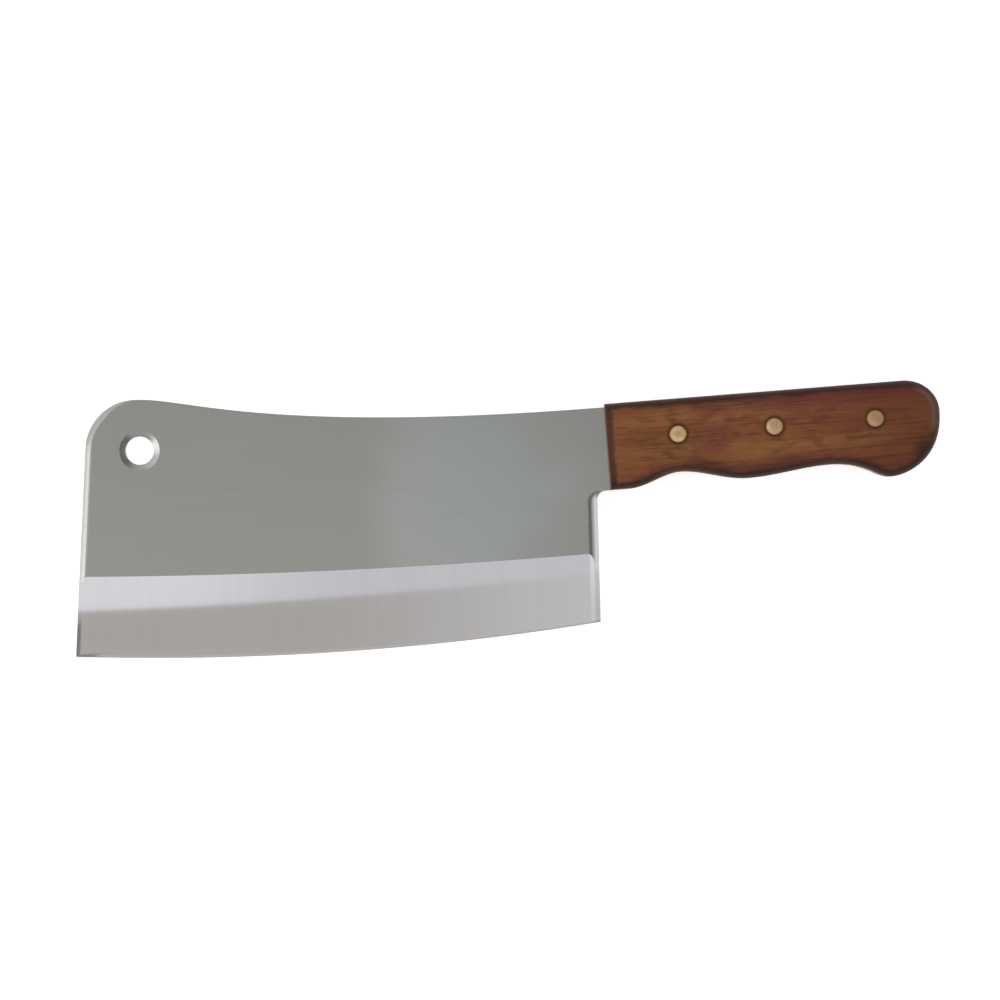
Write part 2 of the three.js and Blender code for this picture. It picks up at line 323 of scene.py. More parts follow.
def linear(colour: str, strength: float = 1.0) -> Colour:
    """Turns an sRGB hex colour to linear, brightened by a strength."""
    parts = [int(colour[i:i + 2], 16) / 255 for i in (1, 3, 5)]
    return (*[strength * (p / 12.92 if p <= 0.04045 else ((p + 0.055) / 1.055) ** 2.4) for p in parts], 1.0)


class Fade(NamedTuple):
    """A soft change over a measure or a pattern: low before its start and high past its end."""

    start: float
    end: float
    high: float = 1.0
    low: float = 0.0


class Grain(NamedTuple):
    """A pattern of soft patches: their length, height and depth in mm, its finer layers and its twist."""

    size: tuple[float, float, float]
    layers: float
    twist: float = 0.0


# A measure or a pattern, by itself or with the fade that it goes through
Part = NodeSocket | tuple[NodeSocket, Fade]


def plug(node: Node, inputs: dict[Any, Any]) -> None:
    """Fills a node's inputs.

    Args:
        node: The node.
        inputs: A socket to link or a value to set for each named or numbered input.
    """
    for name, value in inputs.items():
        if isinstance(value, NodeSocket):
            node.id_data.links.new(value, node.inputs[name])
        else:
            node.inputs[name].default_value = value


@dataclass
class Layers:
    """Tones that lie one over another, as nodes of a material or of the room."""

    tree: NodeTree
    colour: Any

    def add(self, kind: str, inputs: dict[Any, Any], output: int | str = 0, **settings: Any) -> NodeSocket:
        """Adds a node with its settings and links.

        Args:
            kind: Type of the node.
            inputs: A socket or a value for each named or numbered input.
            output: Number or name of the output that is used.
            settings: Options of the node.

        Returns:
            The output's socket.
        """
        node = self.tree.nodes.new(f"ShaderNode{kind}")
        for name, value in settings.items():
            setattr(node, name, value)
        plug(node, inputs)
        return node.outputs[output]

    def share(self, *parts: Part) -> NodeSocket:
        """Finds the share of a place where all of some parts hold.

        Args:
            parts: The parts.

        Returns:
            The socket of their product.
        """
        product = None
        for part in parts:
            if not isinstance(part, NodeSocket):
                value, fade = part
                inputs = dict(zip(FADE_INPUTS, (value, *fade)))
                part = self.add("MapRange", inputs, interpolation_type="SMOOTHSTEP")
            both = {0: product, 1: part}
            product = part if product is None else self.add("Math", both, operation="MULTIPLY")
        return product

    def lay(self, tone: Any, *parts: Part) -> None:
        """Lays a tone over the others where all of some parts hold.

        Args:
            tone: A hex colour, a linear colour or a colour's socket.
            parts: The parts.
        """
        over = linear(tone) if isinstance(tone, str) else tone
        inputs = {MIX_SHARE: self.share(*parts), MIX_UNDER: self.colour, MIX_OVER: over}
        self.colour = self.add("Mix", inputs, MIX_RESULT, data_type="RGBA")


class Paint(Layers):
    """The tones and patterns of a material, with places in the drawing's millimetres."""

    def __init__(self, name: str, tone: str, origin: Vector) -> None:
        """Starts a material.

        Args:
            name: Its name.
            tone: Its first tone.
            origin: The drawing's origin in the frame.
        """
        self.material = bpy.data.materials.new(name)
        self.material.use_nodes = True
        super().__init__(self.material.node_tree, linear(tone))
        self.where = self.add("TexCoord", {}, "Object")
        per_mm = (1 / MM, 1 / MM, 1 / MM)
        self.drawn = self.add("Mapping", {"Vector": self.where, "Scale": per_mm, "Location": -origin / MM})
        self.along, self.rise, up = self.add("SeparateXYZ", {0: self.drawn}).node.outputs
        self.height = self.add("Math", {0: up}, operation="ABSOLUTE")

    def pattern(self, grain: Grain) -> NodeSocket:
        """Draws a grain.

        Args:
            grain: The grain.

        Returns:
            The pattern's socket.
        """
        per_metre = [1 / (side * MM) for side in grain.size]
        stretched = self.add("Mapping", {"Vector": self.where, "Scale": per_metre})
        settings = {"Scale": 1.0, "Detail": grain.layers, "Distortion": grain.twist}
        return self.add("TexNoise", {"Vector": stretched, **settings})

    def away(self, axis: Vector) -> NodeSocket:
        """Measures how far a point lies from an upright axis."""
        flat = self.add("VectorMath", {0: self.drawn, 1: (1, 1, 0)}, operation="MULTIPLY")
        return self.add("VectorMath", {0: flat, 1: axis.to_3d()}, "Value", operation="DISTANCE")

    def finish(self, inputs: dict[str, Any]) -> Material:
        """Gives the shader the colour and its other inputs, and hands over the material."""
        plug(self.tree.nodes["Principled BSDF"], {"Base Color": self.colour, **inputs})
        return self.material


@dataclass(frozen=True)
class Haze:
    """A faint oval patch of another tone with a drifting rim. Its place and reach are in millimetres."""

    tone: str
    centre: Vector
    reach: Vector
    strength: float
    drifts: Grain = Grain((34, 22, 22), 1)
    drift: float = 0.8
    rim: Fade = Fade(1.4, 0.6)

    def lay(self, paint: Paint) -> None:
        """Lays the haze over a paint's tones.

        Args:
            paint: The paint.
        """
        shrink = (1 / self.reach.x, 1 / self.reach.y, 0)
        shift = (-self.centre.x / self.reach.x, -self.centre.y / self.reach.y, 0)
        spread = paint.add("Mapping", {"Vector": paint.drawn, "Scale": shrink, "Location": shift})
        away = paint.add("VectorMath", {0: spread}, "Value", operation="LENGTH")
        drifts = {0: paint.pattern(self.drifts), 1: self.drift, 2: away}
        drifted = paint.add("Math", drifts, operation="MULTIPLY_ADD")
        paint.lay(self.tone, (drifted, self.rim._replace(high=self.strength)))


@dataclass(frozen=True)
class BeltGroundSteel:
    """Stainless steel off the belt: a soft grey sheen, fine lines along the blade and two faint hazes."""

    origin: Vector
    name: str = "belt_ground_steel"
    tone: str = "#a6a8a5"
    cloud: str = "#a3a5a2"
    streak: str = "#abadaa"
    hazes: tuple[Haze, Haze] = (
        Haze("#b5b7b8", Vector((-65.9, -23)), Vector((34, 80)), 0.85),
        Haze("#abb4b5", Vector((-45.9, -6)), Vector((46, 70)), 0.85),
    )
    clouds: Grain = Grain((45, 24, 24), 2)
    # Belt lines are finer than a pixel, so they are drawn about three times as coarse as they are
    lines: Grain = Grain((70, 0.8, 0.8), 3)
    line_tone: Fade = Fade(0.4, 0.8, 0.35)
    line_depth: float = 0.005
    roughness: float = 0.2
    line_gloss: float = 0.05

    def material(self) -> Material:
        """Makes the steel: broad clouds of tone and the hazes, with belt lines in colour, gloss and bump.

        Returns:
            The material.
        """
        paint = Paint(self.name, self.tone, self.origin)
        lines = paint.pattern(self.lines)
        paint.lay(self.cloud, paint.pattern(self.clouds))
        for haze in self.hazes:
            haze.lay(paint)
        paint.lay(self.streak, (lines, self.line_tone))
        shine = {0: lines, 1: self.line_gloss, 2: self.roughness}
        gloss = paint.add("Math", shine, operation="MULTIPLY_ADD")
        bump = paint.add("Bump", {"Height": lines, "Strength": BUMP, "Distance": self.line_depth * MM})
        return paint.finish({"Roughness": gloss, "Normal": bump, "Metallic": 1.0})


@dataclass(frozen=True)
class WheelGroundSteel:
    """Steel off the grinding wheel: near a mirror down the blade, faintly streaked, with painted shade and
    a painted highlight at both ends.
    """

    origin: Vector
    nose: Vector
    front_way: Vector
    heel: Vector
    heel_way: Vector
    name: str = "wheel_ground_steel"
    tone: str = "#b9b9b9"
    streak: str = "#bbbbbb"
    # A painted highlight beside the heel's edge
    heel_highlight: str = "#cfcfcf"
    honed: str = "#d6d6d6"
    # Painted shade at the nose and on the heel's edge
    tarnish_and_shade: str = "#80807b"
    streaks: Grain = Grain((2.6, 60, 60), 2)
    streak_tone: Fade = Fade(0.35, 0.75)
    honed_height: Fade = Fade(0.258, 0.235)
    front_inset: Fade = Fade(2.1, 0.8, 0.85)
    front_rise: Fade = Fade(16, 10)
    edge_rise: Fade = Fade(1.2, 0.4, 0.65)
    edge_inset: Fade = Fade(11, 5)
    highlight_inset: Fade = Fade(4.1, 3)
    highlight_rise: Fade = Fade(2, 18, 1, 0.4)
    heel_inset: Fade = Fade(2.2, 1.5, 0.3)
    roughness: float = 0.04
    streak_gloss: float = 0.006

    @staticmethod
    def place(paint: Paint, corner: Vector, inward: Vector) -> tuple[NodeSocket, NodeSocket]:
        """Measures a point's place from one of the blade's lower corners.

        Args:
            paint: The steel's paint.
            corner: The corner.
            inward: The way in from the edge that rises from the corner.

        Returns:
            How far in from that edge the point lies, and how high above the corner.
        """
        away = paint.add("VectorMath", {0: paint.drawn, 1: corner.to_3d()}, operation="SUBTRACT")
        inset = paint.add("VectorMath", {0: away, 1: inward.to_3d()}, "Value", operation="DOT_PRODUCT")
        return inset, paint.add("SeparateXYZ", {0: away}, "Y")

    def shade_nose(self, paint: Paint) -> None:
        """Lays painted shade on the lower part of the front edge, and on the cutting edge next to it.

        Args:
            paint: The steel's paint.
        """
        inset, rise = self.place(paint, self.nose, Vector((self.front_way.y, -self.front_way.x)))
        up_front = paint.share((inset, self.front_inset), (rise, self.front_rise))
        along_edge = paint.share((rise, self.edge_rise), (inset, self.edge_inset))
        # Painted shade up the front edge and along the cutting edge next to the nose
        paint.lay(self.tarnish_and_shade, paint.add("Math", {0: up_front, 1: along_edge}, operation="MAXIMUM"))

    def light_heel(self, paint: Paint) -> None:
        """Draws a painted highlight beside the heel's edge, and painted shade on the edge itself.

        Args:
            paint: The steel's paint.
        """
        inset, rise = self.place(paint, self.heel, Vector((-self.heel_way.y, self.heel_way.x)))
        # A painted highlight beside the heel's edge, and painted shade on the edge itself
        paint.lay(self.heel_highlight, (inset, self.highlight_inset), (rise, self.highlight_rise))
        paint.lay(self.tarnish_and_shade, (inset, self.heel_inset))

    def material(self) -> Material:
        """Makes the steel: streaks across the bevel, the bright honed edge and the painted shade and
        highlight at both ends.

        Returns:
            The material.
        """
        paint = Paint(self.name, self.tone, self.origin)
        streaks = paint.pattern(self.streaks)
        paint.lay(self.streak, (streaks, self.streak_tone))
        paint.lay(self.honed, (paint.height, self.honed_height))
        self.shade_nose(paint)
        self.light_heel(paint)
        shine = {0: streaks, 1: self.streak_gloss, 2: self.roughness}
        gloss = paint.add("Math", shine, operation="MULTIPLY_ADD")
        return paint.finish({"Roughness": gloss, "Metallic": 1.0})


@dataclass(frozen=True)
class OiledHardwood:
    """Red-brown tropical hardwood, sanded and oiled: matt and streaky, with dark pores, and painted light
    and shade over its edges and ends.
    """

    origin: Vector
    face_height: float
    lower_edge: list[Vector]
    rivets: list[Vector]
    name: str = "oiled_hardwood"
    heart: str = "#84502c"
    pale: str = "#915e38"
    pale_streaks: Grain = Grain((90, 6, 6), 3, 0.7)
    pale_tone: Fade = Fade(0.38, 0.66)
    mottle: str = "#643b1f"
    mottles: Grain = Grain((9, 4.5, 4.5), 2, 0.5)
    mottle_tone: Fade = Fade(0.45, 0.68, 0.55)
    blush: str = "#763330"
    blush_patches: Grain = Grain((24, 9, 9), 2, 0.4)
    blush_tone: Fade = Fade(0.46, 0.68, 0.5)
    blush_middle: float = -2
    blush_edge: Fade = Fade(5, 13, 0.75)
    blush_along: Fade = Fade(35, 80)
    # Painted shade along the top and the wavy lower edge, deepest on the swell
    shaded: str = "#46231f"
    shade_edge_reach: Fade = Fade(8, 3)
    shade_top_reach: Fade = Fade(8.5, 13.5, 0.34)
    shade_least: float = 0.28
    swell_front: Fade = Fade(26, 44, 0.32)
    swell_rear: Fade = Fade(86, 66)
    # Painted light toward the front end, and painted shade toward the butt
    front_light: str = "#885334"
    front_light_along: Fade = Fade(15, 4, 0.7)
    butt: str = "#61331a"
    butt_shade_along: Fade = Fade(70, 122, 0.65)
    pore: str = "#331c12"
    fibres: Grain = Grain((22, 0.9, 0.9), 4, 0.3)
    fibre_tone: Fade = Fade(0.45, 0.75, 0.5)
    fibre_height: float = 0.08
    pores: Grain = Grain((5.5, 0.55, 0.55), 2, 0.2)
    pore_tone: Fade = Fade(0.58, 0.74, 0.45)
    pore_height: float = -0.06
    # Painted shade over the rounded edges
    rim: str = "#2e1815"
    rim_wander: Grain = Grain((7, 3, 3), 2)
    rim_middle: float = 0.5
    rim_raggedness: float = 0.9
    rim_depth: Fade = Fade(0.05, 0.9)
    rim_rise: Fade = Fade(10.5, 14.5, 0.9, 0.66)
    rim_side: Fade = Fade(2.5, 4.5, 0.3, 1)
    # A painted shadow low on the butt
    butt_shadow: Haze = Haze("#361d16", Vector((121.1, -12)), Vector((9, 10)), 1.0)
    # A painted sheen on the upper part of the butt's rounding
    butt_sheen: str = "#76544e"
    sheen_outer: Fade = Fade(0.02, 0.3)
    sheen_inner: Fade = Fade(1.5, 0.6)
    sheen_along: Fade = Fade(115, 122, 0.62)
    sheen_rise: Fade = Fade(-5, 1)
    grime: str = "#53350f"
    grime_ring: Fade = Fade(5.2, 3.7, 0.8)
    roughness: float = 0.47
    fibre_gloss: float = 0.18
    specular: float = 0.2

    def edge_shade(self, paint: Paint) -> NodeSocket:
        """Finds where painted shade darkens the wood: along the top and the wavy lower edge, most on the
        swell.

        Args:
            paint: The wood's paint.

        Returns:
            The share's socket.
        """
        level: Any = self.lower_edge[0].y
        for start, end in zip(self.lower_edge, self.lower_edge[1:]):
            step = paint.share((paint.along, Fade(start.x, end.x, end.y - start.y)))
            level = paint.add("Math", {0: step, 1: level}, operation="ADD")
        over_edge = paint.add("Math", {0: paint.rise, 1: level}, operation="SUBTRACT")
        on_swell = paint.share((paint.along, self.swell_front), (paint.along, self.swell_rear))
        shade_spread = paint.add("Math", {0: on_swell, 1: self.shade_least}, operation="ADD")
        near_edge = paint.share((over_edge, self.shade_edge_reach), shade_spread)
        near_top = paint.share((paint.rise, self.shade_top_reach))
        return paint.add("Math", {0: near_edge, 1: near_top}, operation="MAXIMUM")

    def lay_figure(self, paint: Paint) -> None:
        """Lays the broad figure, redder along the edges, with painted shade along the top and the lower
        edge, painted light in front and painted shade toward the butt.

        Args:
            paint: The wood's paint.
        """
        paint.lay(self.pale, (paint.pattern(self.pale_streaks), self.pale_tone))
        paint.lay(self.mottle, (paint.pattern(self.mottles), self.mottle_tone))
        patches = paint.share((paint.pattern(self.blush_patches), self.blush_tone))
        off_middle = paint.add("Math", {0: paint.rise, 1: self.blush_middle}, operation="SUBTRACT")
        off_middle = paint.add("Math", {0: off_middle}, operation="ABSOLUTE")
        edges = paint.share((off_middle, self.blush_edge), (paint.along, self.blush_along))
        paint.lay(self.blush, paint.add("Math", {0: patches, 1: edges}, operation="MAXIMUM"))
        # Painted shade along the top and the wavy lower edge
        paint.lay(self.shaded, self.edge_shade(paint))
        # Painted light toward the front end, painted shade toward the butt
        paint.lay(self.front_light, (paint.along, self.front_light_along))
        paint.lay(self.butt, (paint.along, self.butt_shade_along))

    def lay_painted_light_and_grime(self, paint: Paint) -> None:
        """Lays painted shade on the rounded edges, a painted shadow low on the butt, a painted sheen on the
        butt's rounding and the grime round the rivet heads.

        Args:
            paint: The wood's paint.
        """
        depth = paint.add("Math", {0: self.face_height, 1: paint.height}, operation="SUBTRACT")
        # Painted shade over the rounded edges: deepest along the top and bottom, fainter down the sides
        swing = {0: paint.pattern(self.rim_wander), 1: self.rim_middle}
        wander = paint.add("Math", swing, operation="SUBTRACT")
        ragged = paint.add("Math", {0: wander, 1: self.rim_raggedness, 2: depth}, operation="MULTIPLY_ADD")
        off_axis = paint.add("Math", {0: paint.rise}, operation="ABSOLUTE")
        paint.lay(self.rim, (ragged, self.rim_depth), (off_axis, self.rim_rise), (depth, self.rim_side))
        # A painted shadow low on the butt
        self.butt_shadow.lay(paint)
        # A painted sheen on the upper part of the butt's rounding
        on_round = paint.share((depth, self.sheen_outer), (depth, self.sheen_inner))
        paint.lay(self.butt_sheen, on_round, (paint.along, self.sheen_along), (paint.rise, self.sheen_rise))
        for rivet in self.rivets:
            paint.lay(self.grime, (paint.away(rivet), self.grime_ring))

    def material(self) -> Material:
        """Makes the wood: figure, fibres and pores in colour and bump, and the painted light and shade and
        the grime over them.

        Returns:
            The material.
        """
        paint = Paint(self.name, self.heart, self.origin)
        fibres = paint.pattern(self.fibres)
        pores = paint.pattern(self.pores)
        self.lay_figure(paint)
        paint.lay(self.pore, (fibres, self.fibre_tone))
        paint.lay(self.pore, (pores, self.pore_tone))
        self.lay_painted_light_and_grime(paint)
        shine = {0: fibres, 1: self.fibre_gloss, 2: self.roughness}
        gloss = paint.add("Math", shine, operation="MULTIPLY_ADD")
        bump = paint.add("Bump", {"Height": pores, "Strength": BUMP, "Distance": self.pore_height * MM})
        ridges = {"Height": fibres, "Strength": BUMP, "Distance": self.fibre_height * MM, "Normal": bump}
        bump = paint.add("Bump", ridges)
        return paint.finish({"Roughness": gloss, "Normal": bump, "Specular IOR Level": self.specular})


@dataclass(frozen=True)
class WornBrass:
    """Yellow brass, ground flush and dulled by handling: pale tan, browner in the middle and at the rim,
    with painted shade toward the butt.
    """

    origin: Vector
    rivets: list[Vector]
    name: str = "worn_brass"
    bright: str = "#f5d6a9"
    dull: str = "#bc9574"
    tarnish_and_shade: str = "#7a5a31"
    patches: Grain = Grain((2.5, 2.5, 2.5), 3)
    patch_tone: Fade = Fade(0.3, 0.75, 0.6)
    # Strength of the painted shade toward the butt
    shaded: float = 0.65
    middle: Fade = Fade(2.2, 0.6, 0.5)
    rim_inner: Fade = Fade(2.6, 3.3)
    rim_outer: Fade = Fade(5, 4)
    scratches: Grain = Grain((6, 0.3, 0.3), 3)
    scratch_depth: float = 0.02
    scratch_gloss: float = 0.16
    roughness: float = 0.24

    def material(self) -> Material:
        """Makes the brass: scratches along the handle over patches and rings of tarnish, and painted shade
        toward the butt.

        Returns:
            The material.
        """
        paint = Paint(self.name, self.bright, self.origin)
        scratches = paint.pattern(self.scratches)
        paint.lay(self.dull, (paint.pattern(self.patches), self.patch_tone))
        # Painted shade: the heads grow duller toward the butt
        paint.lay(self.dull, (paint.along, Fade(self.rivets[0].x, self.rivets[-1].x, self.shaded)))
        for rivet in self.rivets:
            away = paint.away(rivet)
            paint.lay(self.dull, (away, self.middle))
            paint.lay(self.tarnish_and_shade, (away, self.rim_inner), (away, self.rim_outer))
        shine = {0: scratches, 1: self.scratch_gloss, 2: self.roughness}
        gloss = paint.add("Math", shine, operation="MULTIPLY_ADD")
        cut_in = {"Height": scratches, "Strength": BUMP, "Distance": self.scratch_depth * MM}
        bump = paint.add("Bump", cut_in)
        return paint.finish({"Roughness": gloss, "Normal": bump, "Metallic": 1.0})


@dataclass(frozen=True)
class LitAcrylic:
    """White acrylic of a light table, lit from below: plain white, with hardly any shadow on it."""

    name: str = "lit_acrylic"
    tone: str = "#f8f8f8"
    glow: float = 0.65
    roughness: float = 0.9
    specular: float = 0.1

    def material(self) -> Material:
        """Makes the acrylic.

        Returns:
            The material.
        """
        made = bpy.data.materials.new(self.name)
        made.use_nodes = True
        white = linear(self.tone)
        light = {"Base Color": white, "Emission Color": white, "Emission Strength": self.glow}
        sheen = {"Roughness": self.roughness, "Specular IOR Level": self.specular}
        plug(made.node_tree.nodes["Principled BSDF"], {**light, **sheen})
        return made


@dataclass(frozen=True)
class HandleShape:
    """The handle seen from its side, which the tang and both scales share. Drops are below its axis."""

    length: float = 127
    top: float = 16.35
    lip_drop: float = 16.6
    lip_length: float = 7
    fore_groove: Vector = Vector((27, -11.65))
    swell: Vector = Vector((52.5, -16.1))
    rear_groove: Vector = Vector((84, -13.4))
    hook: Vector = Vector((106.8, -19.8))
    groove_reach: float = 14
    hook_reach: float = 5.5
    butt_rise: float = 4
    butt_sweep: float = 19
    butt_corner: float = 13.4
    steps: int = 28
    top_steps: int = 6

    @property
    def lip_end(self) -> Vector:
        """The rear end of the lip."""
        return Vector((self.lip_length, -self.lip_drop))

    @property
    def wave(self) -> list[Vector]:
        """The lower edge's turns, from the end of the lip to the rear groove."""
        return [self.lip_end, self.fore_groove, self.swell, self.rear_groove]

    def walk(self) -> list[Vector]:
        """Walks from the end of the lip round the butt to the top of the front end.

        Returns:
            The points.
        """
        run = []
        for start, end in zip(self.wave, self.wave[1:]):
            third = (end.x - start.x) / 3
            run += level_curve(start, end, third, third, self.steps)
        run += level_curve(self.rear_groove, self.hook, self.groove_reach, self.hook_reach, self.steps)
        butt = Vector((self.length, self.butt_rise))
        lead = self.hook + Vector((self.hook_reach, 0))
        run += cubic(self.hook, lead, butt - Vector((0, self.butt_sweep)), butt, self.steps)
        corner = Vector((self.length - self.butt_corner, self.butt_rise))
        radii = Vector((self.butt_corner, self.top - self.butt_rise))
        run += arc(corner, radii, 0, QUARTER, self.steps)
        run += straight(corner + Vector((0, radii.y)), Vector((0, self.top)), self.top_steps)
        return run


@dataclass(frozen=True)
class Rivet:
    """A two-part cutler's rivet: a flat-headed pin pressed into a flat-headed tube."""

    name: str
    at: Vector
    scale_face: float = 10.25
    head_radius: float = 3.5
    head_thickness: float = 1.6
    head_round: float = 0.45
    head_drop: float = 0.225
    head_crown: float = 0.12
    crown_share: float = 0.6
    tube_radius: float = 2.3
    bore_radius: float = 1.6
    pin_radius: float = 1.55
    pin_taper: float = 0.5
    tube_end_gap: float = 0.8
    pin_end_gap: float = 1.4
    clearance: float = 0.1
    mouth_flare: float = 0.15
    sides: int = 72
    round_steps: int = 5

    @property
    def seat(self) -> float:
        """Height of the seat under the head."""
        return self.scale_face - self.head_thickness

    def head(self) -> list[tuple[float, float]]:
        """Draws the head from its underside to the middle of its slightly crowned face.

        Returns:
            Radius and height of each corner.
        """
        profile = [(self.head_radius, self.seat)]
        inner = self.head_radius - self.head_round
        rim_top = self.scale_face - self.head_crown
        for i in range(self.round_steps + 1):
            angle = QUARTER * i / self.round_steps
            height = rim_top - self.head_drop * (1 - math.sin(angle))
            profile.append((inner + self.head_round * math.cos(angle), height))
        crown = self.scale_face - self.head_crown * self.crown_share ** 2
        profile += [(inner * self.crown_share, crown), (0, self.scale_face)]
        return profile

    def pin(self) -> BMesh:
        """Turns the half with the solid pin, driven in from the left.

        Returns:
            The closed solid.
        """
        tip = self.pin_end_gap - self.seat
        shank = [
            (0, tip),
            (self.pin_radius - self.pin_taper / 2, tip),
            (self.pin_radius, tip + self.pin_taper),
            (self.pin_radius, self.seat),
        ]
        return turned(shank + self.head(), self.at, self.sides)

    def tube(self) -> BMesh:
        """Turns the half with the tube, seated from the right.

        Returns:
            The closed solid.
        """
        mouth = self.tube_end_gap - self.seat
        barrel = [
            (0, self.seat),
            (self.bore_radius, self.seat),
            (self.bore_radius, mouth),
            (self.tube_radius, mouth),
            (self.tube_radius, self.seat),
        ]
        return self.turned_over(turned(barrel + self.head(), self.at, self.sides))

    def seat_tool(self, side: Side) -> BMesh:
        """Turns the cutter for the rivet's stepped hole in one scale, with its worn mouth.

        Args:
            side: The scale's side.

        Returns:
            The cutter.
        """
        hole = self.tube_radius + self.clearance
        head_hole = self.head_radius + self.clearance
        above = self.scale_face + self.mouth_flare
        tool = turned([
            (0, 0),
            (hole, 0),
            (hole, self.seat),
            (head_hole, self.seat),
            (head_hole, self.scale_face - self.mouth_flare),
            (head_hole + 2 * self.mouth_flare, above),
            (0, above),
        ], self.at, self.sides)
        return tool if side is Side.LEFT else self.turned_over(tool)

    def bore_tool(self, reach: float) -> BMesh:
        """Turns the cutter for the rivet's hole through the tang."""
        hole = self.tube_radius + self.clearance
        return turned([(0, -reach), (hole, -reach), (hole, reach), (0, reach)], self.at, self.sides)

    @staticmethod
    def turned_over(bm: BMesh) -> BMesh:
        """Mirrors a shape to the cleaver's other side.

        Args:
            bm: The shape.

        Returns:
            The same shape, mirrored.
        """
        bmesh.ops.scale(bm, vec=(1, 1, -1), verts=bm.verts)
        bmesh.ops.recalc_face_normals(bm, faces=bm.faces)
        return bm

    def build(self, drawing: Drawing, brass: Material) -> None:
        """Builds both halves."""
        drawing.publish(self.pin(), f"{self.name}_pin", f"{self.name}_male", [brass])
        drawing.publish(self.tube(), f"{self.name}_tube", f"{self.name}_female", [brass])


@dataclass(frozen=True)
class Blade:
    """The steel: blade and full tang in one piece, hollow ground on both sides."""

    handle: HandleShape
    rivets: list[Rivet]
    stock: float = 3.5
    edge_length: float = 201
    heel_ahead: float = 7.75
    neck_ahead: float = 5.2
    heel_drop: float = 66.5
    nose_drop: float = 64.1
    edge_belly: float = 4.8
    front_rake: float = math.radians(7.1)
    front_corner: float = 19.5
    spine_step: float = 1.15
    crest_rise: float = 16.9
    spine_reach: float = 135
    crest_reach: float = 20
    neck_fillet: float = 3.2
    tip_round: float = 0.9
    ease_slope: float = 0.5
    front_ease: float = 2.8
    spine_ease: float = 0.5
    heel_ease: float = 3.8
    ease_steps: int = 5
    grind_nose: float = 30.4
    grind_heel: float = 26.3
    grind_belly: float = 2
    wheel_radius: float = 380
    shoulder: float = 0.5
    edge_bevel: float = 0.8
    edge_land: float = 0.1
    grind_overrun: float = 0.04
    grind_overcut: float = 4
    grind_stations: int = 60
    grind_steps: int = 16
    hole_radius: float = 5.4
    hole_behind_crest: float = 1.3
    hole_below_crest: float = 19.5
    sink_width: float = 2.3
    sink_depth: float = 0.5
    sink_lip: float = 0.575
    sink_lip_depth: float = 0.35
    hole_sides: int = 96
    steps: int = 40
    tip_steps: int = 6
    neck_steps: int = 13
    lip_steps: int = 4

    @property
    def nose(self) -> Vector:
        """The lower front corner."""
        return Vector((-self.heel_ahead - self.edge_length, -self.nose_drop))

    @property
    def heel(self) -> Vector:
        """The lower rear corner."""
        return Vector((-self.heel_ahead, -self.heel_drop))

    @property
    def front_way(self) -> Vector:
        """The way up the front edge."""
        return Vector((math.sin(self.front_rake), math.cos(self.front_rake)))

    @property
    def heel_way(self) -> Vector:
        """The way up the heel."""
        rise = self.heel_drop - self.handle.lip_drop
        return Vector((self.heel_ahead - self.neck_ahead, rise)).normalized()

    @property
    def crest(self) -> float:
        """Height of the raised front corner."""
        return self.handle.top - self.spine_step + self.crest_rise

    @property
    def front_round(self) -> Vector:
        """Centre of the front corner's round."""
        return self.round_centre(self.nose, self.front_way, self.front_corner, self.crest)

    @staticmethod
    def round_centre(corner: Vector, way: Vector, radius: float, level: float) -> Vector:
        """Finds the centre of the round that joins a rising side to a level line on its right.

        Args:
            corner: Lower end of the side.
            way: The way up the side.
            radius: Radius of the round.
            level: Height of the level line.

        Returns:
            The centre.
        """
        right = Vector((way.y, -way.x))
        rise = (level - radius - corner.y - radius * right.y) / way.y
        return corner + way * rise + right * radius

    def outline(self) -> Outline:
        """Walks round the steel: spine, front corner, front edge, cutting edge, heel, neck and tang.

        Returns:
            The outline.
        """
        spine_end = Vector((0, self.handle.top - self.spine_step))
        crest = Vector((self.front_round.x, self.crest))
        side_angle = math.pi - self.front_rake
        radii = Vector((self.front_corner, self.front_corner))
        side_way = Vector((math.cos(side_angle), math.sin(side_angle)))
        front_top = self.front_round + side_way * self.front_corner

        made = Outline()
        spine = level_curve(spine_end, crest, self.spine_reach, self.crest_reach, 2 * self.steps)
        made.add(spine, self.spine_ease)
        corner = arc(self.front_round, radii, QUARTER, side_angle, self.steps)
        made.add(corner[:self.steps // 2], self.spine_ease, self.front_ease)
        made.add(corner[self.steps // 2:], self.front_ease)
        above_nose = self.nose + self.front_way * self.tip_round
        made.add(straight(front_top, above_nose, self.steps), self.front_ease)
        past_nose = bellied(self.nose, self.heel, self.edge_belly, self.tip_round / self.edge_length)
        made.add(cubic(above_nose, self.nose, self.nose, past_nose, self.tip_steps))
        for i in range(2 * self.steps):
            along = max(i / (2 * self.steps), self.tip_round / self.edge_length)
            made.add([bellied(self.nose, self.heel, self.edge_belly, along)])

        fillet = self.neck_fillet
        neck_round = self.round_centre(self.heel, self.heel_way, fillet, -self.handle.lip_drop)
        heel_angle = math.atan2(self.heel_way.x, -self.heel_way.y)
        neck = arc(neck_round, Vector((fillet, fillet)), heel_angle, QUARTER, self.neck_steps)
        made.add([self.heel])
        above_heel = self.heel + self.heel_way * self.tip_round
        made.add(straight(above_heel, neck[0], self.steps), self.heel_ease)
        made.add(neck, self.heel_ease, 0)
        lip = Vector((neck_round.x, -self.handle.lip_drop))
        made.add(straight(lip, self.handle.lip_end, self.lip_steps))
        made.add(self.handle.walk())
        made.add([Vector((0, self.handle.top))])
        return made

    def blank(self) -> BMesh:
        """Draws the steel before grinding, with its edges rounded over.

        Returns:
            The closed solid.
        """
        outline = self.outline()
        half = self.stock / 2
        shares = [i / self.ease_steps for i in range(self.ease_steps + 1)]
        levels = [(share, self.ease_slope / 2 * (1 - share) ** 2) for share in shares]
        upper = [outline.drawn_in(share, half, sunk) for share, sunk in levels]
        lower = [outline.drawn_in(share, -half, -sunk) for share, sunk in reversed(levels)]
        return stack(lower + upper)

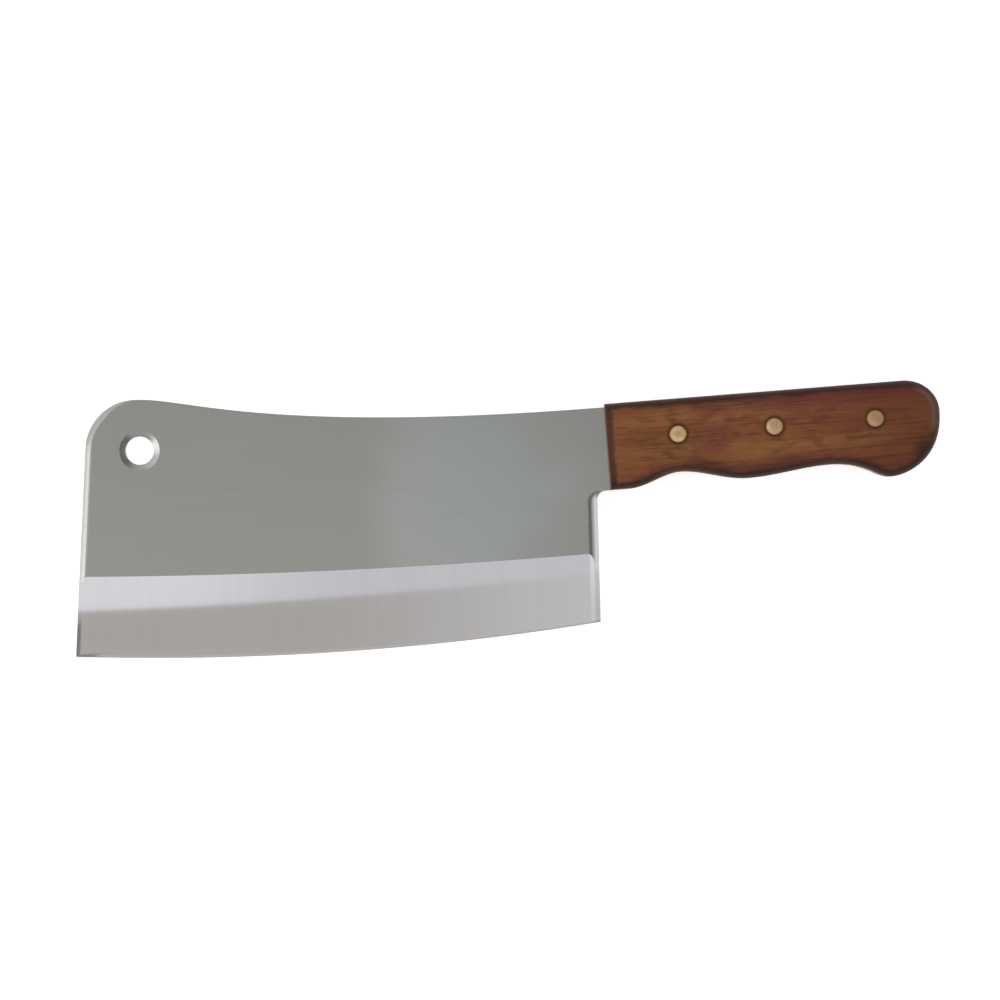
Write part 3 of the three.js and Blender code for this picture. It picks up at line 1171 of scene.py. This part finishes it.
    def grind_tool(self, side: Side) -> BMesh:
        """Draws what the wheel takes off one side: the hollow band and the cutting bevel below it.

        Args:
            side: The side.

        Returns:
            The cutter.
        """
        line_nose = self.nose + self.front_way * (self.grind_nose / self.front_way.y)
        line_heel = self.heel + self.heel_way * (self.grind_heel / self.heel_way.y)
        half = self.stock / 2
        reach = 1 + 2 * self.grind_overrun
        sections = []
        for i in range(self.grind_stations + 1):
            along = reach * i / self.grind_stations - self.grind_overrun
            edge = bellied(self.nose, self.heel, self.edge_belly, along)
            below = edge - Vector((0, self.grind_overcut))
            shoulder = edge + Vector((0, self.edge_bevel))
            line = bellied(line_nose, line_heel, self.grind_belly, along)
            hollow = (line - shoulder).length_squared / (8 * self.wheel_radius)
            section = [(below, self.edge_land / 2), (edge, self.edge_land / 2)]
            for j in range(self.grind_steps, -2, -1):
                down = j / self.grind_steps
                plain = half + (self.shoulder / 2 - half) * down
                height = plain - hollow * bulge(down)
                section.append((line.lerp(shoulder, down), max(height, self.edge_land / 2)))
            section += [(section[-1][0], self.stock), (below, self.stock)]
            sections.append([Vector((at.x, at.y, side.value * z)) for at, z in section])
        return stack(sections, GROUND_SLOT)

    def hole_tool(self) -> BMesh:
        """Turns the cutter for the hanging hole, flared on both sides.

        Returns:
            The cutter.
        """
        behind = self.front_round.x + self.hole_behind_crest
        centre = Vector((behind, self.crest - self.hole_below_crest))
        half = self.stock / 2
        flare = [
            (self.hole_radius, half - self.sink_depth),
            (self.hole_radius + self.sink_lip, half - self.sink_lip_depth),
            (self.hole_radius + self.sink_width, half),
            (self.hole_radius + 2 * self.sink_width, half + self.sink_depth),
            (0, half + self.sink_depth),
        ]
        lower = [(radius, -height) for radius, height in reversed(flare)]
        return turned(lower + flare, centre, self.hole_sides)

    def build(self, drawing: Drawing, flat_steel: Material, ground_steel: Material) -> None:
        """Builds and dresses the blade.

        Args:
            drawing: Where it is drawn.
            flat_steel: Finish of the blank.
            ground_steel: Finish of the hollow grind.
        """
        tools = [self.grind_tool(side) for side in Side]
        tools.append(self.hole_tool())
        tools += [rivet.bore_tool(self.stock) for rivet in self.rivets]
        steel = cut(self.blank(), tools)
        drawing.publish(steel, "ground_blade", "blade", [flat_steel, ground_steel])


@dataclass(frozen=True)
class Scale:
    """One wooden half of the handle, flat against the tang and rounded over on its outer edges."""

    handle: HandleShape
    rivets: list[Rivet]
    side: Side
    tang_face: float = 1.75
    thickness: float = 8.5
    rounding: float = 4.5
    seam: float = 0.25
    round_steps: int = 12
    front_steps: int = 4

    def outline(self) -> Outline:
        """Walks round the scale.

        Returns:
            The outline.
        """
        made = Outline()
        top = Vector((0, self.handle.top))
        lip = Vector((0, -self.handle.lip_drop))
        made.add(straight(top, lip, self.front_steps), self.rounding)
        made.add([lip], self.rounding)
        made.add(self.handle.walk(), self.rounding)
        return made

    def build(self, drawing: Drawing, wood: Material) -> None:
        """Builds and dresses the scale.

        Args:
            drawing: Where it is drawn.
            wood: Its finish.
        """
        outline = self.outline()
        face = self.tang_face + self.thickness
        levels = [(self.seam / self.rounding, self.tang_face), (0, self.tang_face + self.seam)]
        for i in range(self.round_steps + 1):
            angle = QUARTER * i / self.round_steps
            levels.append((1 - math.cos(angle), face - self.rounding * (1 - math.sin(angle))))
        blank = stack([outline.drawn_in(share, self.side.value * height) for share, height in levels])
        carved = cut(blank, [rivet.seat_tool(self.side) for rivet in self.rivets])
        name = self.side.name.lower()
        drawing.publish(carved, f"{name}_handle_scale", f"{name}_scale", [wood])


@dataclass(frozen=True)
class Softbox:
    """A wide light panel far overhead. Its sides are given by their lean off the zenith, in degrees."""

    name: str
    across: tuple[float, float]
    along: tuple[float, float]
    radiance: float
    height: float = 12.0

    def build(self) -> None:
        """Hangs the panel, facing down."""
        left, right = [self.height * math.tan(math.radians(angle)) for angle in self.across]
        near, far = [self.height * math.tan(math.radians(angle)) for angle in self.along]
        light = bpy.data.lights.new(self.name, "AREA")
        light.shape = "RECTANGLE"
        light.size = right - left
        light.size_y = far - near
        light.energy = math.pi * light.size * light.size_y * self.radiance
        panel = bpy.data.objects.new(self.name, light)
        panel.location = ((left + right) / 2, (near + far) / 2, self.height)
        panel.visible_camera = False
        bpy.context.scene.collection.objects.link(panel)


@dataclass(frozen=True)
class Studio:
    """A light table, a painted ceiling, light panels and the camera square above the blade.

    The edges on the ceiling are given by how far the way to them leans right, to the far side or up.
    """

    handle_turn: float = math.radians(4.5)
    view_centre: Vector = Vector((-0.001625, 0.00204))
    view_width: float = 0.38183
    camera_height: float = 1.4
    sensor: float = 36
    floor_size: float = 4
    floor_cells: int = 8
    ceiling: str = "#fffaf6"
    far_glow: float = 0.42
    overhead: float = 0.86
    overhead_edge: Fade = Fade(0.16, -0.06)
    nose_glow: float = 0.755
    heel_glow: float = 0.995
    heel_edge: Fade = Fade(-0.06, 0.035)
    before_strip_edge: Fade = Fade(-0.04, -0.07)
    strip: str = "#fafaff"
    strip_nose: float = 1.39
    strip_heel: float = 1.09
    strip_change: Fade = Fade(-0.11, -0.04)
    strip_slant: float = 0.235
    strip_edge: Fade = Fade(-0.1555, -0.162)
    near_glow: float = 0.66
    near_edge: Fade = Fade(-0.28, -0.36)
    right_shade: float = 0.17
    right_edge: Fade = Fade(0.08, 0.15)
    horizon: float = 0.5
    horizon_edge: Fade = Fade(0.92, 0.72)
    white: str = "#ffffff"
    backdrop: float = 0.97
    panels: tuple[Softbox, ...] = (
        Softbox("front_panel", (-62, -23), (-13, 8), 1.75),
        Softbox("corner_panel", (-62, -14), (8, 48), 0.6),
        Softbox("upper_panel", (-27, -15), (9, 21), 0.4, 11.0),
        Softbox("heel_panel", (22, 36), (-35, 35), 0.65),
        Softbox("side_panel", (36, 52), (-35, 35), 1.4),
        Softbox("far_panel", (-14, 10), (16, 50), 0.36),
    )

    def floor(self, blade: Blade, scale: Scale) -> None:
        """Sets the light table as the cleaver lies on it: on the handle's front end and the blade's nose.

        Args:
            blade: The blade.
            scale: The lower scale.
        """
        scale_low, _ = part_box("right_scale")
        blade_low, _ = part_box("blade")
        under_scale = Vector((scale_low.x + scale.rounding * MM, 0, scale_low.z))
        nose_rise = math.tan(blade.front_rake) * blade.grind_nose + blade.front_ease
        under_nose = Vector((blade_low.x + nose_rise * MM, 0, blade_low.z))
        slope = math.atan2(under_nose.z - under_scale.z, under_scale.x - under_nose.x)
        bm = bmesh.new()
        cells = self.floor_cells
        bmesh.ops.create_grid(bm, x_segments=cells, y_segments=cells, size=self.floor_size)
        bmesh.ops.rotate(bm, matrix=Matrix.Rotation(slope, 3, "Y"), verts=bm.verts)
        bmesh.ops.translate(bm, vec=under_scale, verts=bm.verts)
        floor = scratch_object(bm, "light_table")
        floor.data.materials.append(LitAcrylic().material())

    def room(self) -> None:
        """Paints the ceiling that the steel reflects, and the dim room round it.

        The ceiling is grey overhead, dimmer to the far side and dark to the right. On the cutting edge's
        side it has a bright slanting strip, which the hollow grind picks up as its upper band.
        """
        world = bpy.data.worlds.new("studio_room")
        bpy.context.scene.world = world
        world.use_nodes = True
        glow = Layers(world.node_tree, linear(self.ceiling, self.far_glow))
        way = glow.add("TexCoord", {}, "Generated")
        right, far, up = glow.add("SeparateXYZ", {0: way}).node.outputs
        slanted = glow.add("Math", {0: right, 1: self.strip_slant, 2: far}, operation="MULTIPLY_ADD")
        before_strip = Layers(glow.tree, linear(self.ceiling, self.nose_glow))
        before_strip.lay(linear(self.white, self.heel_glow), (right, self.heel_edge))
        strip = Layers(glow.tree, linear(self.strip, self.strip_nose))
        strip.lay(linear(self.strip, self.strip_heel), (right, self.strip_change))

        glow.lay(linear(self.ceiling, self.overhead), (far, self.overhead_edge))
        glow.lay(before_strip.colour, (far, self.before_strip_edge))
        glow.lay(strip.colour, (slanted, self.strip_edge))
        glow.lay(linear(self.ceiling, self.near_glow), (slanted, self.near_edge))
        glow.lay(linear(self.ceiling, self.right_shade), (right, self.right_edge))
        glow.lay(linear(self.ceiling, self.horizon), (up, self.horizon_edge))
        glow.lay(linear(self.white, self.backdrop), glow.add("LightPath", {}, "Is Camera Ray"))
        plug(glow.tree.nodes["Background"], {"Color": glow.colour})

    def camera(self) -> None:
        """Sets the camera square above the blade's left face, turned as the photograph is."""
        _, blade_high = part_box("blade")
        lens = bpy.data.cameras.new("camera")
        lens.sensor_width = self.sensor
        lens.lens = self.sensor * self.camera_height / self.view_width
        camera = bpy.data.objects.new("camera", lens)
        camera.location = (*self.view_centre, blade_high.z + self.camera_height)
        camera.rotation_euler = (0, 0, -self.handle_turn)
        bpy.context.scene.collection.objects.link(camera)
        bpy.context.scene.camera = camera

    def build(self, blade: Blade, scale: Scale) -> None:
        """Sets up the floor, the room, the panels and the camera.

        Args:
            blade: The blade.
            scale: The lower scale.
        """
        self.floor(blade, scale)
        self.room()
        for panel in self.panels:
            panel.build()
        self.camera()
        bpy.context.scene.view_settings.view_transform = "Standard"


def main() -> None:
    """Builds the cleaver piece by piece, then its studio."""
    logging.basicConfig(level=logging.INFO, format="%(name)s: %(message)s")
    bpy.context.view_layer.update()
    handle = HandleShape()
    drawing = Drawing(handle.top)
    rivets = [
        Rivet("front_rivet", Vector((26.9, 2.7))),
        Rivet("middle_rivet", Vector((63.6, 2.7))),
        Rivet("rear_rivet", Vector((102.0, 2.7))),
    ]
    scales = [Scale(handle, rivets, side) for side in Side]
    blade = Blade(handle, rivets)

    origin = drawing.origin()
    places = [rivet.at for rivet in rivets]
    wood = OiledHardwood(origin, rivets[0].scale_face, [*handle.wave, handle.hook], places).material()
    brass = WornBrass(origin, places).material()
    flat_steel = BeltGroundSteel(origin).material()
    corners = (blade.nose, blade.front_way, blade.heel, blade.heel_way)
    ground_steel = WheelGroundSteel(origin, *corners).material()
    blade.build(drawing, flat_steel, ground_steel)
    for scale in scales:
        scale.build(drawing, wood)
    for rivet in rivets:
        rivet.build(drawing, brass)
    Studio().build(blade, scales[1])


if __name__ == "__main__":
    main()
